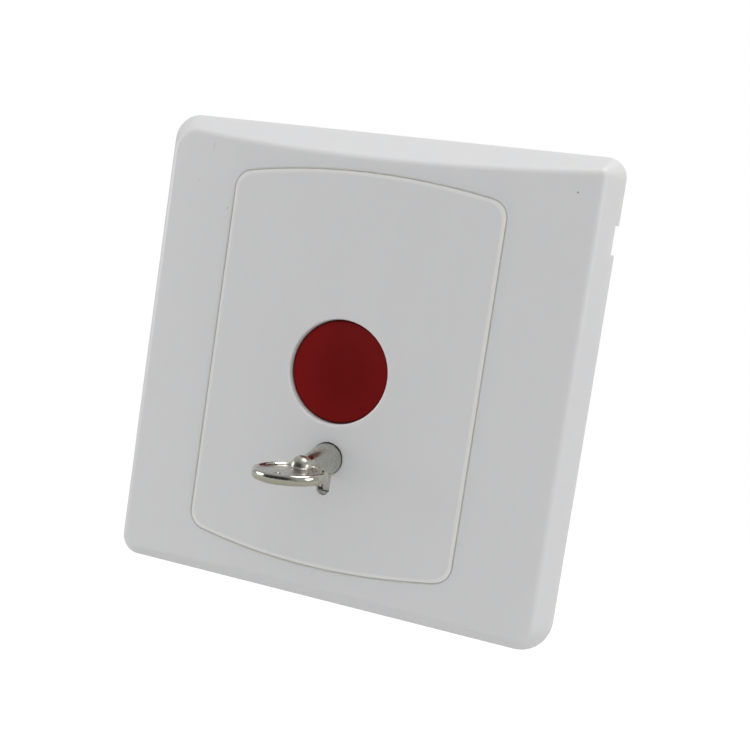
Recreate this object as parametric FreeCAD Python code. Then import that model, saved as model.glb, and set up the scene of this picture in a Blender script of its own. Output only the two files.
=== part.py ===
import FreeCAD, Part
import math
import os

# Emergency push switch with key reset, on a square wall plate.
# Millimetres. The origin is the middle of the plate on the wall's surface: +X right, +Z up, and +Y into the
# wall, so the front of the plate has negative Y. The plate, its panel and what they hold are built from the
# sizes below, and each piece has its own function.

# Wall plate
plate_width = 86.0
plate_height = 86.0
rim_depth = 0.8
crown_height = 9.0
crown_radius = 210.0
flank_angle = 32.0
lower_flank_angle = 27.0
frame_wall = 2.0
frame_edge_round = 1.4

# Corner radii of the plate: upper right, upper left, lower left and lower right, at the rim and round the face
plate_corners = (3.4, 5.0, 3.6, 6.0)
face_corners = (1.2, 5.0, 3.0, 4.0)
face_corner_depth = 4.4
least_corner = 0.5

# Arched centre panel and the opening that it fills
panel_half_width = 25.5
panel_half_height = 35.1
panel_arch_radius = 137.0
panel_corner = 3.2
panel_skin = 2.2
panel_wall = 1.5
seam_bevel = 0.22
seam_gap = 0.03
flange_depth = 0.6
flange_thickness = 1.0
flange_reach = 0.9
flange_clearance = 0.1
opening_wall = 1.4
lip_back = 3.0

# Mounting plate under the frame
base_clearance = 1.0
base_corner = 3.0
base_thickness = 2.0
base_pocket_depth = 0.8
base_rib = 1.6
wall_screw_pitch = 60.3
wall_slot_width = 4.4
wall_slot_length = 8.4
catch_inset = 4.6
catch_z = 24.0
catch_width = 7.0
catch_clearance = 0.3
hook_thickness = 1.4
hook_barb = 0.8
hook_setback = 0.2

# Pry notch in the rim, high on the right side
notch_z = 29.4
notch_length = 5.0
notch_depth = 1.35

# Push button
button_bore_r = 9.25
button_bore_round = 0.4
button_clearance = 0.08
button_recess = 1.5
button_dish = 0.6
button_wall = 1.2
button_crown = 1.6
button_skirt = 3.0
button_edge_round = 0.4
button_lug_reach = 1.0
button_lug_thickness = 1.0
button_lug_width = 4.0
button_travel = 2.5
collar_wall = 1.3
stop_gap = 0.1

# Plunger under the button
plunger_r = 3.4
plunger_groove_r = 2.7
plunger_tail_r = 2.0
plunger_tail_length = 6.5
plunger_land = 1.5
plunger_cone_share = 0.8
plunger_chamfer = 0.4
tail_chamfer = 0.6
plunger_socket_wall = 1.2
sliding_fit = 0.1
bearing_wall = 1.4
bearing_rise = 3.4

# Return spring round the plunger
return_wire = 0.5
return_coil_r = 5.7
return_turns = 4
return_seat_depth = 1.5
return_seat_half = 0.8

# Key and keyhole
key_x = 0.5
key_z = -15.4
key_shank_r = 2.8
keyhole_clearance = 0.12
keyhole_skin = 1.0
key_slot_width = 2.6
key_slot_reach = 6.6
key_neck_r = 1.55
key_ball_r = 1.95
key_ball_stand = 11.2
key_taper_start = 0.5
key_ring_r = 5.6
key_ring_wire_r = 0.7
key_ring_offset = 4.6
key_ring_droop = 6.0
key_rest_turn = 3.0
key_sag = 1.2
key_bit_width = 1.8
key_bit_reach = 5.9
key_bit_length = 2.5
key_bit_setback = 0.3
key_tip_depth = 6.0
key_tip_chamfer = 0.3
guide_wall = 2.2
guide_clearance = 0.2
guide_half_angle = 50.0

# Rotor behind the keyhole
rotor_r = 5.5
rotor_gap = 0.1
rotor_bore_clearance = 0.08
rotor_slot_clearance = 0.15
rotor_floor = 0.8
journal_r = 3.4
journal_rise = 2.2
shaft_r = 2.0
shaft_flat = 1.5
shaft_length = 4.3
cam_thickness = 3.8
cam_r = 4.4
cam_throw = 1.2
cam_bore_clearance = 0.04
cam_lug_reach = 8.2
cam_lug_width = 1.8
cam_lug_thickness = 1.8
stop_peg_r = 0.8
stop_peg_offset = 7.2
cam_screw_r = 0.9
cam_screw_head_r = 2.3
cam_screw_head_height = 1.4
cam_screw_length = 5.0
cam_screw_well = 0.5

# Latch plate over the plunger's bearing
latch_thickness = 1.0
latch_half_width = 5.0
latch_shoulder = 4.0
latch_top = 9.0
latch_foot_half_width = 3.2
latch_tab_length = 4.4
latch_spring_wire = 0.4
latch_spring_r = 1.8
latch_spring_turns = 5
latch_spring_length = 6.0
latch_spring_peg_r = 1.3
latch_spring_peg_length = 1.6
rail_wall = 1.3
rail_lip = 0.8
rail_length = 12.0

# Switch housing and its rear cover
housing_half_width = 22.0
housing_top = 21.0
housing_bottom = -27.0
housing_wall = 1.6
housing_depth = 20.0
housing_corner = 2.0
column_r = 3.1
column_inset = 4.4
cover_thickness = 2.4
terminal_pitch = 8.6
terminal_z = -19.0
terminal_rib = 1.4
terminal_rise = 6.0
terminal_half_height = 4.8
terminal_margin = 1.0

# Contact blades and terminals
blade_thickness = 0.4
blade_half_width = 2.0
contact_x = 4.3
contact_r = 1.4
contact_gap = 1.4
contact_height = 0.6
tail_gap = 0.1
pad_half_width = 3.4
pad_half_height = 3.4
riser_z = -14.6
terminal_screw_r = 1.5
terminal_head_r = 2.7
terminal_head_height = 1.9
clamp_half = 3.3
clamp_thickness = 0.8
clamp_flange = 0.5
clamp_grip = 0.8
nut_half = 2.75
nut_thickness = 1.6
terminal_screw_tip = 1.2
cover_recess_clearance = 0.15

# Screws that hold the assembly together
panel_screw_x = 16.0
panel_screw_z = 30.2
panel_screw_r = 1.3
panel_screw_head_r = 2.4
panel_screw_head_height = 1.5
panel_screw_bite = 3.2
panel_boss_r = 2.8
housing_screw_r = 1.45
housing_screw_head_r = 2.7
housing_screw_head_height = 1.8
housing_boss_height = 3.0
boss_floor = 0.6
hole_clearance = 0.15
thread_gap = 0.02
head_round = 0.4
recess_depth = 0.6
recess_reach = 0.62
recess_half_width = 0.13
tip_share = 0.3
tip_slope = 1.6

# How far a cutting tool runs past the piece it cuts, and joined blocks into each other
past = 1.0
sink = 0.1

# Places that follow from the sizes above
flank_run = math.tan(math.radians(flank_angle))
panel_back = -crown_height + panel_skin
base_front = -base_thickness
base_inset = frame_wall / math.cos(math.radians(flank_angle)) + flank_run * (base_thickness - rim_depth)
base_half_width = plate_width / 2 - base_inset - base_clearance
base_half_height = plate_height / 2 - base_inset - base_clearance
catch_x = base_half_width - catch_inset
button_face = -crown_height + button_recess
button_r = button_bore_r - button_clearance
button_back = button_face + button_skirt
cap_floor = button_face + button_crown
bearing_end = bearing_rise
latch_front = bearing_end + 2 * sliding_fit
latch_back = latch_front + latch_thickness
groove_start = latch_front - button_travel - sliding_fit
groove_end = latch_back - button_travel + sliding_fit
land_end = latch_back + plunger_land
tail_end = land_end + plunger_tail_length
common_front = tail_end + tail_gap
common_back = common_front + blade_thickness
open_face = common_back + contact_height + contact_gap
open_front = open_face + contact_height
closed_back = common_front - 2 * contact_height
closed_front = closed_back - blade_thickness
keyhole_back = -crown_height + keyhole_skin
rotor_front = keyhole_back + rotor_gap
rotor_back = base_front - rotor_gap
key_tip = -crown_height + key_tip_depth
bit_front = keyhole_back + key_bit_setback
guide_r = key_bit_reach + guide_clearance
cam_front = journal_rise + sliding_fit
cam_back = cam_front + cam_thickness
cover_front = housing_depth
cover_back = cover_front + cover_thickness
column_x = housing_half_width - column_inset
column_top = housing_top - column_inset
column_bottom = housing_bottom + column_inset
boss_front = base_front - housing_boss_height


def box(x0, x1, y0, y1, z0, z1):
    corner = FreeCAD.Vector(min(x0, x1), min(y0, y1), min(z0, z1))
    return Part.makeBox(abs(x1 - x0), abs(y1 - y0), abs(z1 - z0), corner)


def rod(radius, y0, y1, x=0.0, z=0.0):
    return Part.makeCylinder(radius, y1 - y0, FreeCAD.Vector(x, y0, z), FreeCAD.Vector(0, 1, 0))


def turned(profile, x=0.0, z=0.0):
    """Revolves a closed list of (radius, y) corners about an axis along Y."""
    points = [FreeCAD.Vector(r, y, 0) for r, y in profile]
    face = Part.Face(Part.makePolygon(points + [points[0]]))
    solid = face.revolve(FreeCAD.Vector(0, 0, 0), FreeCAD.Vector(0, 1, 0), 360)
    solid.translate(FreeCAD.Vector(x, 0, z))
    return Part.Solid(solid) if solid.ShapeType == "Shell" else solid


def flat_outline(corners, y0, y1):
    """Extrudes a closed list of (x, z) corners along Y."""
    points = [FreeCAD.Vector(x, y0, z) for x, z in corners]
    face = Part.Face(Part.makePolygon(points + [points[0]]))
    return face.extrude(FreeCAD.Vector(0, y1 - y0, 0))


def rounded_outline(half_width, half_height, radii, y, middle_z=0.0):
    """Closed wire of a rectangle in the plane at y, with one corner radius or four."""
    w, h = half_width, half_height
    if not isinstance(radii, (tuple, list)):
        radii = [radii] * 4
    edges = []
    for (sx, sz), r in zip(((1, 1), (-1, 1), (-1, -1), (1, -1)), radii):
        k = r * (1 - math.sqrt(0.5))
        along_x = FreeCAD.Vector(sx * (w - r), y, middle_z + sz * h)
        along_z = FreeCAD.Vector(sx * w, y, middle_z + sz * (h - r))
        middle = FreeCAD.Vector(sx * (w - k), y, middle_z + sz * (h - k))
        first, last = (along_z, along_x) if sx * sz > 0 else (along_x, along_z)
        edges.append((first, middle, last))
    wire = []
    for i, (first, middle, last) in enumerate(edges):
        wire.append(Part.Arc(first, middle, last).toShape())
        following = edges[(i + 1) % 4][0]
        wire.append(Part.LineSegment(last, following).toShape())
    return Part.Wire(wire)


def rounded_block(half_width, half_height, radii, y0, y1):
    face = Part.Face(rounded_outline(half_width, half_height, radii, y0))
    return face.extrude(FreeCAD.Vector(0, y1 - y0, 0))


def flank_edge(half, angle, inset, depth):
    """How far from the plate's middle a flank is at a depth, moved in by inset."""
    lean = math.radians(angle)
    return half - inset / math.cos(lean) - math.tan(lean) * (depth - rim_depth)


def flank_block(inset, back):
    """Tapered block of the plate's flanks, moved in by inset, from the given back plane forwards."""
    reach = crown_height + 3 * past
    start = rim_depth if inset == 0 else -back
    outlines = []
    for depth, corners in ((start, plate_corners), (face_corner_depth, face_corners), (reach, face_corners)):
        side = flank_edge(plate_width / 2, flank_angle, inset, depth)
        top = flank_edge(plate_height / 2, flank_angle, inset, depth)
        bottom = -flank_edge(plate_height / 2, lower_flank_angle, inset, depth)
        radii = [max(r - inset, least_corner) for r in corners]
        outlines.append(rounded_outline(side, (top - bottom) / 2, radii, -depth, (top + bottom) / 2))
    return Part.makeLoft(outlines, True, True)


def crown(inset):
    """Upright cylinder whose front is the crowned face, moved back by inset."""
    middle = FreeCAD.Vector(0, crown_radius - crown_height, -plate_height)
    return Part.makeCylinder(crown_radius - inset, 2 * plate_height, middle)


def arched_block(grow, y0, y1):
    """The centre panel's outline, grown all round, as a prism along Y."""
    w = panel_half_width + grow
    h = panel_half_height + grow
    sag = w * w / (2 * panel_arch_radius)
    corners = [FreeCAD.Vector(x, y0, z) for x, z in ((w, h - sag), (-w, h - sag), (-w, sag - h), (w, sag - h))]
    top = Part.Arc(corners[0], FreeCAD.Vector(0, y0, h), corners[1]).toShape()
    left = Part.LineSegment(corners[1], corners[2]).toShape()
    bottom = Part.Arc(corners[2], FreeCAD.Vector(0, y0, -h), corners[3]).toShape()
    right = Part.LineSegment(corners[3], corners[0]).toShape()
    block = Part.Face(Part.Wire([top, left, bottom, right])).extrude(FreeCAD.Vector(0, y1 - y0, 0))
    upright = [e for e in block.Edges if abs(e.Vertexes[0].Y - e.Vertexes[-1].Y) > abs(y1 - y0) / 2]
    return block.makeFillet(panel_corner + grow, upright)


def front_edges(shape):
    """Edges that bound the crowned face: both ends on the crown."""
    axis_y = crown_radius - crown_height
    found = []
    for edge in shape.Edges:
        points = [v.Point for v in edge.Vertexes] + [edge.valueAt(sum(edge.ParameterRange) / 2)]
        if all(abs(math.hypot(p.x, p.y - axis_y) - crown_radius) < 0.01 for p in points):
            found.append(edge)
    return found


def coil(wire, radius, turns, start, end, x=0.0, z=0.0, upright=False):
    """Open coil spring between two planes, along Y, or along Z when it is upright."""
    length = end - start - wire
    helix = Part.makeHelix(length / turns, length, radius)
    section = Part.Wire(Part.makeCircle(wire / 2, FreeCAD.Vector(radius, 0, 0), FreeCAD.Vector(0, 1, 0)))
    spring = Part.Wire(helix).makePipeShell([section], True, True)
    if upright:
        spring.translate(FreeCAD.Vector(x, 0, start + wire / 2))
        return spring
    spring.rotate(FreeCAD.Vector(0, 0, 0), FreeCAD.Vector(1, 0, 0), -90)
    spring.translate(FreeCAD.Vector(x, start + wire / 2, z))
    return spring


def pan_screw(shank_r, head_r, head_height, tip, seat, x, z):
    """Pan head screw along Y: the head stands on the plane at seat and the tip points forwards."""
    top = seat + head_height
    head = rod(head_r, seat, top, x, z)
    rim = [e for e in head.Edges if abs(e.BoundBox.YMin - top) < 0.01 and e.Length > head_r]
    head = head.makeFillet(head_round, rim)
    point_length = shank_r * tip_slope
    point = Part.makeCone(shank_r * tip_share, shank_r, point_length, FreeCAD.Vector(x, tip, z),
                          FreeCAD.Vector(0, 1, 0))
    screw = head.fuse(rod(shank_r, tip + point_length, seat, x, z)).fuse(point)
    floor = top - head_height * recess_depth
    arm = head_r * recess_reach
    half = head_r * recess_half_width
    cross = box(x - arm, x + arm, floor, top + past, z - half, z + half)
    cross = cross.fuse(box(x - half, x + half, floor, top + past, z - arm, z + arm))
    return screw.cut(cross).removeSplitter()


def catch_places():
    return [(sx * catch_x, sz * catch_z) for sx in (-1, 1) for sz in (-1, 1)]


def panel_screw_places():
    return [(sx * panel_screw_x, sz * panel_screw_z) for sx in (-1, 1) for sz in (-1, 1)]


def column_places():
    return [(sx * column_x, z) for sx in (-1, 1) for z in (column_top, column_bottom)]


def plate_pockets():
    """Lightening pockets in the back of the mounting plate, as (x range, z range), clear of what it holds."""
    outer_x = base_half_width - 2 * base_rib
    outer_z = base_half_height - 2 * base_rib
    beside_box = (housing_half_width + base_rib, outer_x)
    between = (wall_slot_width / 2 + base_rib, catch_z - catch_width / 2 - base_rib)
    beside_screw = (panel_screw_x + panel_screw_head_r + base_rib, outer_x)
    past_catch = (catch_z + catch_width / 2 + base_rib, outer_z)
    reach = panel_screw_x - panel_screw_head_r - base_rib
    pockets = []
    for side in (-1, 1):
        for end in (-1, 1):
            pockets.append((ordered(side, beside_box), ordered(end, between)))
            pockets.append((ordered(side, beside_screw), ordered(end, past_catch)))
    pockets.append(((-reach, reach), (housing_top + base_rib, outer_z)))
    pockets.append(((-reach, reach), (-outer_z, housing_bottom - base_rib)))
    return pockets


def ordered(side, span):
    """The span, or its mirror image, lowest end first."""
    return tuple(sorted(side * v for v in span))


def terminal_places():
    return [i * terminal_pitch for i in (-1, 0, 1)]


def hook_outline(side):
    """Side view of a snap hook in X and Y, with its barb towards the plate's middle."""
    face = side * (catch_x + hook_thickness / 2)
    back = side * (catch_x - hook_thickness / 2)
    barb = back - side * hook_barb
    ledge = -base_thickness / 2 + catch_clearance
    tip = -hook_setback
    return [(face, panel_back), (back, panel_back), (back, ledge), (barb, ledge), (back, tip), (face, tip)]


def cover_frame():
    body = flank_block(0, 0).fuse(rounded_block(plate_width / 2, plate_height / 2, plate_corners, -rim_depth, 0))
    body = body.removeSplitter().common(crown(0))
    body = body.makeFillet(frame_edge_round, front_edges(body))
    hollow = flank_block(frame_wall, past).common(crown(frame_wall))
    frame = body.cut(hollow)
    rebate = flange_reach + flange_clearance
    lip = arched_block(rebate + opening_wall, -lip_back, -crown_height - past)
    lip = lip.common(crown(frame_wall / 2))
    frame = frame.fuse(lip)
    for side in (-1, 1):
        for z in (-catch_z, catch_z):
            points = [FreeCAD.Vector(x, y, z - catch_width / 2 + catch_clearance) for x, y in hook_outline(side)]
            face = Part.Face(Part.makePolygon(points + [points[0]]))
            hook = face.extrude(FreeCAD.Vector(0, 0, catch_width - 2 * catch_clearance))
            frame = frame.fuse(hook.common(crown(frame_wall / 2)))
    frame = frame.cut(arched_block(seam_gap, past, -crown_height - 2 * past))
    around = panel_half_height + frame_edge_round
    rim = [e for e in front_edges(frame) if e.BoundBox.ZMax < around and e.BoundBox.ZMin > -around
           and max(e.BoundBox.XMax, -e.BoundBox.XMin) < panel_half_width + frame_edge_round]
    frame = frame.makeChamfer(seam_bevel, rim)
    frame = frame.cut(arched_block(rebate, past, -crown_height).common(crown(flange_depth - flange_clearance)))
    inside = plate_width / 2 - frame_wall * 2
    low, high = notch_z - notch_length / 2, notch_z + notch_length / 2
    frame = frame.cut(box(inside, plate_width, -notch_depth, past, low, high))
    return frame.removeSplitter()


def key_slot(half_width, reach):
    """Cutting tool of the slot below the key's axis, with a round end."""
    end = key_z - reach + half_width
    y0, y1 = -crown_height - past, panel_back + past
    return box(key_x - half_width, key_x + half_width, y0, y1, end, key_z).fuse(rod(half_width, y0, y1, key_x, end))


def keyhole_pocket():
    """Pocket behind the keyhole that leaves a thin skin there, for the rotor and the wall that guides it."""
    y0, y1 = keyhole_back, panel_back + past
    reach = guide_r + guide_wall + guide_clearance
    low, high = key_z - reach - past, key_z + key_bit_width
    below = rod(reach, y0, y1, key_x, key_z)
    below = below.common(box(key_x - reach - past, key_x + reach + past, y0 - past, y1 + past, low, high))
    return below.fuse(rod(rotor_r + 2 * sliding_fit, y0, y1, key_x, key_z))


def centre_panel():
    body = arched_block(0, base_front, -crown_height - past).common(crown(0))
    body = body.makeChamfer(seam_bevel, front_edges(body))
    flange = arched_block(flange_reach, base_front, -crown_height).common(crown(flange_depth))
    flange = flange.cut(crown(flange_depth + flange_thickness))
    hollow = arched_block(-panel_wall, base_front + past, -crown_height).common(crown(panel_skin))
    panel = body.fuse(flange).cut(hollow)
    for x, z in panel_screw_places():
        boss = rod(panel_boss_r, -crown_height, base_front, x, z)
        panel = panel.fuse(boss.common(crown(panel_skin / 2)))
    collar_end = button_back - button_lug_thickness - stop_gap
    collar = rod(button_bore_r + collar_wall, panel_back - panel_skin / 4, collar_end)
    collar = collar.cut(rod(rotor_r + 2 * sliding_fit, panel_back, 0, key_x, key_z))
    panel = panel.fuse(collar).removeSplitter()
    panel = panel.cut(rod(button_bore_r, -crown_height - past, 0))
    rim = [e for e in panel.Edges if e.BoundBox.YMax < -crown_height + 0.5
           and abs(e.Length - 2 * math.pi * button_bore_r) < 1.0]
    panel = panel.makeFillet(button_bore_round, rim)
    panel = panel.cut(keyhole_pocket())
    keyhole = rod(key_shank_r + keyhole_clearance, -crown_height - past, panel_back + past, key_x, key_z)
    panel = panel.cut(keyhole.fuse(key_slot(key_slot_width / 2, key_slot_reach)))
    for x, z in panel_screw_places():
        panel = panel.cut(rod(panel_screw_r, panel_back + past, base_front + past, x, z))
    return panel.removeSplitter()


def rotor_guide():
    """Arc wall round the bit's path, under the rotor: it closes the key slot from behind."""
    front = keyhole_back + guide_clearance
    outer = guide_r + guide_wall
    span = math.radians(guide_half_angle)
    wedge = [(key_x, key_z)]
    for angle in (-span, -span / 2, 0, span / 2, span):
        wedge.append((key_x + 2 * outer * math.sin(angle), key_z - 2 * outer * math.cos(angle)))
    wall = rod(outer, front, base_front + sink, key_x, key_z)
    wall = wall.cut(rod(guide_r, front - past, base_front + past, key_x, key_z))
    return wall.common(flat_outline(wedge, front - past, past))


def mounting_plate():
    plate = rounded_block(base_half_width, base_half_height, base_corner, base_front, 0)
    plate = plate.fuse(rod(plunger_r + sliding_fit + bearing_wall, -sink, bearing_end))
    plate = plate.fuse(rod(journal_r + sliding_fit + bearing_wall, -sink, journal_rise, key_x, key_z))
    plate = plate.fuse(rotor_guide())
    rail_end = latch_back + sliding_fit + rail_wall
    for side in (-1, 1):
        inner = side * (latch_half_width + sliding_fit)
        outer = inner + side * rail_wall
        rail = box(inner, outer, -sink, rail_end, -rail_length / 2, rail_length / 2)
        lip = box(inner - side * rail_lip, outer, rail_end - rail_wall, rail_end, -rail_length / 2, rail_length / 2)
        plate = plate.fuse(rail).fuse(lip)
    peg_gap = cam_lug_width / 2 + sliding_fit + stop_peg_r
    peg_end = cam_front + cam_lug_thickness
    plate = plate.fuse(rod(stop_peg_r, -sink, peg_end, key_x + stop_peg_offset, key_z + peg_gap))
    plate = plate.fuse(rod(stop_peg_r, -sink, peg_end, key_x - peg_gap, key_z - stop_peg_offset))
    plate = plate.cut(rod(plunger_r + sliding_fit, base_front - past, bearing_end + past))
    plate = plate.cut(rod(journal_r + sliding_fit / 2, base_front - past, journal_rise + past, key_x, key_z))
    seat = rod(return_coil_r + return_seat_half, base_front - past, base_front + return_seat_depth)
    core = rod(return_coil_r - return_seat_half, base_front - 2 * past, 0)
    plate = plate.cut(seat.cut(core))
    for side in (-1, 1):
        x = side * wall_screw_pitch / 2
        half = wall_slot_width / 2
        straight = wall_slot_length / 2 - half
        slot = box(x - straight, x + straight, base_front - past, past, -half, half)
        for end in (-straight, straight):
            slot = slot.fuse(rod(half, base_front - past, past, x + end))
        plate = plate.cut(slot)
    for x, z in catch_places():
        side = 1 if x > 0 else -1
        outer = x + side * (hook_thickness / 2 + catch_clearance)
        inner = x - side * (hook_thickness / 2 + catch_clearance)
        barb = inner - side * hook_barb
        low, high = z - catch_width / 2, z + catch_width / 2
        plate = plate.cut(box(inner, outer, base_front - past, past, low, high))
        plate = plate.cut(box(barb, outer, -base_thickness / 2, past, low, high))
    for x, z in panel_screw_places():
        plate = plate.cut(rod(panel_screw_r + hole_clearance, base_front - past, past, x, z))
    for x, z in column_places():
        plate = plate.fuse(rod(column_r, boss_front, base_front, x, z))
        plate = plate.cut(rod(housing_screw_r, boss_front + boss_floor, past, x, z))
    for (x0, x1), (z0, z1) in plate_pockets():
        pocket = rounded_block((x1 - x0) / 2, (z1 - z0) / 2, base_rib / 2, -base_pocket_depth, past)
        pocket.translate(FreeCAD.Vector((x0 + x1) / 2, 0, (z0 + z1) / 2))
        plate = plate.cut(pocket)
    return plate.removeSplitter()


def panel_screws():
    screws = [pan_screw(panel_screw_r - thread_gap, panel_screw_head_r, panel_screw_head_height,
                        base_front - panel_screw_bite, 0, x, z) for x, z in panel_screw_places()]
    return Part.makeCompound(screws)


def button_cap():
    dish_r = button_r - button_edge_round
    shoulder = button_edge_round * (1 - math.sqrt(0.5))
    ball = (dish_r * dish_r + button_dish * button_dish) / (2 * button_dish)
    half = dish_r / 2
    dip = math.sqrt(ball * ball - half * half) - (ball - button_dish)
    socket_r = plunger_r + sliding_fit / 2
    wall_r = button_r - button_wall

    def at(r, y):
        return FreeCAD.Vector(r, y, 0)

    dish = Part.Arc(at(0, button_face + button_dish), at(half, button_face + dip), at(dish_r, button_face))
    edge = Part.Arc(at(dish_r, button_face), at(button_r - shoulder, button_face + shoulder),
                    at(button_r, button_face + button_edge_round))
    corners = [at(button_r, button_face + button_edge_round), at(button_r, button_back), at(wall_r, button_back),
               at(wall_r, cap_floor), at(socket_r + plunger_socket_wall, cap_floor),
               at(socket_r + plunger_socket_wall, button_back), at(socket_r, button_back),
               at(socket_r, cap_floor), at(0, cap_floor), at(0, button_face + button_dish)]
    sides = [Part.LineSegment(a, b).toShape() for a, b in zip(corners, corners[1:])]
    section = Part.Face(Part.Wire([dish.toShape(), edge.toShape()] + sides))
    cap = section.revolve(FreeCAD.Vector(0, 0, 0), FreeCAD.Vector(0, 1, 0), 360)
    for angle in (90, 210, 330):
        lug = box(button_r - button_wall / 2, button_bore_r + button_lug_reach,
                  button_back - button_lug_thickness, button_back, -button_lug_width / 2, button_lug_width / 2)
        lug.rotate(FreeCAD.Vector(0, 0, 0), FreeCAD.Vector(0, 1, 0), -angle)
        cap = cap.fuse(lug)
    return cap


def plunger():
    top = cap_floor + sliding_fit
    cone = (plunger_r - plunger_tail_r) * plunger_cone_share
    profile = [
        (0, top), (plunger_r - plunger_chamfer, top), (plunger_r, top + plunger_chamfer),
        (plunger_r, groove_start), (plunger_groove_r, groove_start), (plunger_groove_r, groove_end),
        (plunger_r, groove_end), (plunger_r, land_end - cone), (plunger_tail_r, land_end),
        (plunger_tail_r, tail_end - tail_chamfer), (plunger_tail_r - tail_chamfer, tail_end), (0, tail_end)]
    return turned(profile)


def return_spring():
    return coil(return_wire, return_coil_r, return_turns, cap_floor, base_front + return_seat_depth)


def turn_about_key(shape, angle):
    shape.rotate(FreeCAD.Vector(key_x, 0, key_z), FreeCAD.Vector(0, 1, 0), angle)
    return shape


def key_rotor():
    cup_floor = rotor_back - rotor_floor
    cup = rod(rotor_r, rotor_front, rotor_back, key_x, key_z)
    cup = cup.cut(rod(key_shank_r + rotor_bore_clearance, rotor_front - past, cup_floor, key_x, key_z))
    half = key_bit_width / 2 + rotor_slot_clearance
    cup = cup.cut(box(key_x - half, key_x + half, rotor_front - past, cup_floor, key_z - rotor_r - past, key_z))
    cup = turn_about_key(cup, -key_rest_turn)
    shaft_end = journal_rise + shaft_length
    journal = rod(journal_r, rotor_back - sink, journal_rise, key_x, key_z)
    shaft = rod(shaft_r, journal_rise - sink, shaft_end, key_x, key_z)
    shaft = shaft.cut(box(key_x - shaft_r, key_x + shaft_r, journal_rise, shaft_end + past,
                          key_z + shaft_flat, key_z + shaft_r + past))
    rotor = cup.fuse(journal).fuse(shaft)
    well = shaft_end - cam_screw_length - cam_screw_well
    rotor = rotor.cut(rod(cam_screw_r + thread_gap, well, cam_back + past, key_x, key_z))
    return rotor.removeSplitter()


def release_cam():
    cam = rod(cam_r, cam_front, cam_back, key_x, key_z - cam_throw)
    half = cam_lug_width / 2
    lug = box(key_x, key_x + cam_lug_reach, cam_front, cam_front + cam_lug_thickness, key_z - half, key_z + half)
    cam = cam.fuse(lug)
    bore = rod(shaft_r + cam_bore_clearance, cam_front - past, cam_back + past, key_x, key_z)
    flat = box(key_x - shaft_r - past, key_x + shaft_r + past, cam_front - 2 * past, cam_back + 2 * past,
               key_z + shaft_flat + cam_bore_clearance, key_z + shaft_r + past)
    return cam.cut(bore.cut(flat)).removeSplitter()


def cam_screw():
    seat = max(cam_back, journal_rise + shaft_length) + thread_gap
    return pan_screw(cam_screw_r, cam_screw_head_r, cam_screw_head_height, seat - cam_screw_length, seat,
                     key_x, key_z)


def reset_key():
    taper = -crown_height - key_taper_start
    ball_y = -crown_height - key_ball_stand
    neck_y = ball_y + math.sqrt(key_ball_r ** 2 - key_neck_r ** 2)
    profile = [(0, key_tip), (key_shank_r - key_tip_chamfer, key_tip), (key_shank_r, key_tip - key_tip_chamfer),
               (key_shank_r, taper), (key_neck_r, neck_y), (0, neck_y)]
    key = turned(profile, key_x, key_z)
    ball = FreeCAD.Vector(key_x, ball_y, key_z)
    key = key.fuse(Part.makeSphere(key_ball_r, ball))
    ring = Part.makeTorus(key_ring_r, key_ring_wire_r, FreeCAD.Vector(key_x, ball_y - key_ring_offset, key_z))
    ring.rotate(ball, FreeCAD.Vector(1, 0, 0), key_ring_droop)
    key = key.fuse(ring)
    half = key_bit_width / 2
    bit = box(key_x - half, key_x + half, bit_front, bit_front + key_bit_length, key_z - key_bit_reach, key_z)
    key = key.fuse(bit).removeSplitter()
    key.rotate(FreeCAD.Vector(key_x, (key_tip - crown_height) / 2, key_z), FreeCAD.Vector(1, 0, 0), key_sag)
    return turn_about_key(key, -key_rest_turn)


def latch_foot():
    return key_z - cam_throw + cam_r + sliding_fit


def latch_plate():
    window = plunger_r + sliding_fit
    top = latch_top
    shoulder = -window - cam_throw - latch_shoulder
    foot = latch_foot_half_width
    plate = box(-latch_half_width, latch_half_width, latch_front, latch_back, shoulder, top)
    plate = plate.fuse(box(-foot, foot, latch_front, latch_back, latch_foot(), 0))
    plate = plate.fuse(box(-foot, foot, latch_front, latch_front + latch_tab_length, top - latch_thickness, top))
    drop = cam_throw + 2 * sliding_fit
    y0, y1 = latch_front - past, latch_back + past
    opening = rod(window, y0, y1).fuse(rod(window, y0, y1, 0, -drop)).fuse(box(-window, window, y0, y1, -drop, 0))
    return plate.cut(opening).removeSplitter()


def latch_spring():
    y = latch_front + latch_tab_length / 2
    spring = coil(latch_spring_wire, latch_spring_r, latch_spring_turns, latch_top,
                  latch_top + latch_spring_length, 0, 0, True)
    spring.translate(FreeCAD.Vector(0, y, 0))
    return spring


def housing_outline(grow, y0, y1):
    middle = (housing_top + housing_bottom) / 2
    half_height = (housing_top - housing_bottom) / 2
    corner = max(housing_corner + grow, least_corner)
    block = rounded_block(housing_half_width + grow, half_height + grow, corner, y0, y1)
    block.translate(FreeCAD.Vector(0, 0, middle))
    return block


def switch_housing():
    housing = housing_outline(0, 0, housing_depth).cut(housing_outline(-housing_wall, -past, housing_depth + past))
    for x, z in column_places():
        housing = housing.fuse(rod(column_r, 0, housing_depth, x, z))
    seat_z = latch_top + latch_spring_length
    seat_y = latch_front + latch_tab_length
    seat_half = latch_spring_r + latch_spring_wire
    housing = housing.fuse(box(-seat_half, seat_half, latch_front, seat_y, seat_z, housing_top - housing_wall / 2))
    peg = Part.makeCylinder(latch_spring_peg_r, latch_spring_peg_length,
                            FreeCAD.Vector(0, (latch_front + seat_y) / 2, seat_z - latch_spring_peg_length))
    housing = housing.fuse(peg)
    for x, z in column_places():
        housing = housing.cut(rod(housing_screw_r + hole_clearance, -past, housing_depth + past, x, z))
    return housing.removeSplitter()


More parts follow.
